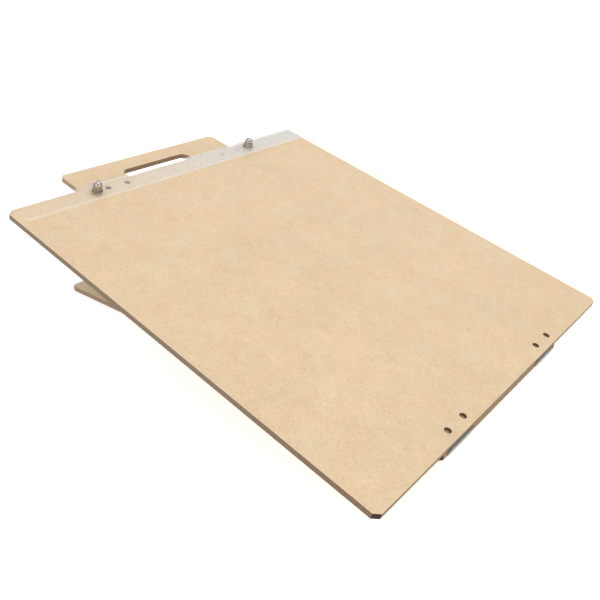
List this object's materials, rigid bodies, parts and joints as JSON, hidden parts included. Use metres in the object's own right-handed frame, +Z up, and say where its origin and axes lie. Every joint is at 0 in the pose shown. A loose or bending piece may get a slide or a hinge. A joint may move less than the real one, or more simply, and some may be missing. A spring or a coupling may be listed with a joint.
{
  "type": "slant board",
  "caption": "Folding tilted writing board on a hinged base panel, with hand slots, side stays and a clear paper clamp strip held by domed nuts.",
  "frame": {"origin": "middle of the whole footprint, on the surface the rubber feet stand on, with the board tilted as in use", "axes": "+X to the user's right, +Y from the front edge to the handles, +Z up"},
  "size_m": [0.419, 0.5128, 0.1544],
  "materials": {
    "hardboard": "smooth bare hardboard, sawn edges",
    "clear_strip": "clear, polished",
    "chromed_steel": "polished",
    "zinc_steel": "bright zinc",
    "rubber_foot": "matt"
  },
  "bodies": {
    "base": {"base_panel": "hardboard", "base_feet": "rubber_foot", "hinge_left_base_leaf": "zinc_steel", "hinge_right_base_leaf": "zinc_steel", "hinge_left_pin": "zinc_steel", "hinge_right_pin": "zinc_steel", "hinge_base_rivets": "zinc_steel", "base_bracket_left": "zinc_steel", "base_bracket_right": "zinc_steel", "stay_stud_left": "zinc_steel", "stay_stud_right": "zinc_steel", "base_bracket_screws": "zinc_steel"},
    "board": {"writing_board": "hardboard", "handle_panel": "hardboard", "panel_spacer_left": "hardboard", "panel_spacer_right": "hardboard", "hinge_left_board_leaf": "zinc_steel", "hinge_right_board_leaf": "zinc_steel", "hinge_board_rivets": "zinc_steel", "handle_panel_rivets": "zinc_steel", "clamp_screw_left": "chromed_steel", "clamp_screw_right": "chromed_steel", "board_bracket_left": "zinc_steel", "board_bracket_right": "zinc_steel", "stay_pivot_left": "zinc_steel", "stay_pivot_right": "zinc_steel", "board_bracket_screws": "zinc_steel"},
    "clamp": {"clamp_strip": "clear_strip", "clamp_washer_left": "chromed_steel", "clamp_washer_right": "chromed_steel"},
    "cap_nut_left": {"cap_nut_left": "chromed_steel"},
    "cap_nut_right": {"cap_nut_right": "chromed_steel"},
    "stay_left": {"stay_left": "zinc_steel"},
    "stay_right": {"stay_right": "zinc_steel"},
    "thumb_nut_left": {"thumb_nut_left": "chromed_steel"},
    "thumb_nut_right": {"thumb_nut_right": "chromed_steel"}
  },
  "joints": [
    {"name": "board_tilt", "type": "hinge", "parent": "base", "child": "board", "pos_m": [0, -0.2514, 0.0102], "axis": [1, 0, 0], "range_deg": [-14.4, 0]},
    {"name": "stay_left_swing", "type": "hinge", "parent": "board", "child": "stay_left", "pos_m": [-0.117, 0.03805, 0.08914], "axis": [1, 0, 0], "range_deg": [-7.5, 0.1]},
    {"name": "stay_right_swing", "type": "hinge", "parent": "board", "child": "stay_right", "pos_m": [0.117, 0.03805, 0.08914], "axis": [1, 0, 0], "range_deg": [-7.5, 0.1]},
    {"name": "clamp_lift", "type": "slide", "parent": "board", "child": "clamp", "axis": [0, -0.2756, 0.9613], "range_m": [0, 0.002]},
    {"name": "cap_nut_left_turn", "type": "hinge", "parent": "clamp", "child": "cap_nut_left", "pos_m": [-0.114, 0.16978, 0.14419], "axis": [0, -0.2756, 0.9613], "range_deg": [0, 722]},
    {"name": "cap_nut_right_turn", "type": "hinge", "parent": "clamp", "child": "cap_nut_right", "pos_m": [0.114, 0.16978, 0.14419], "axis": [0, -0.2756, 0.9613], "range_deg": [0, 722]},
    {"name": "thumb_nut_left_turn", "type": "hinge", "parent": "base", "child": "thumb_nut_left", "pos_m": [-0.122, -0.1514, 0.0063], "axis": [-1, 0, 0], "range_deg": [0, 180]},
    {"name": "thumb_nut_right_turn", "type": "hinge", "parent": "base", "child": "thumb_nut_right", "pos_m": [0.122, -0.1514, 0.0063], "axis": [1, 0, 0], "range_deg": [0, 180]}
  ],
  "couplings": [
    {"joint": "stay_left_swing", "follows": "board_tilt", "ratio": 0.468},
    {"joint": "stay_right_swing", "follows": "board_tilt", "ratio": 0.468},
    {"joint": "cap_nut_left_turn", "follows": "clamp_lift", "rad_per_m": 6283.2},
    {"joint": "cap_nut_right_turn", "follows": "clamp_lift", "rad_per_m": 6283.2}
  ]
}
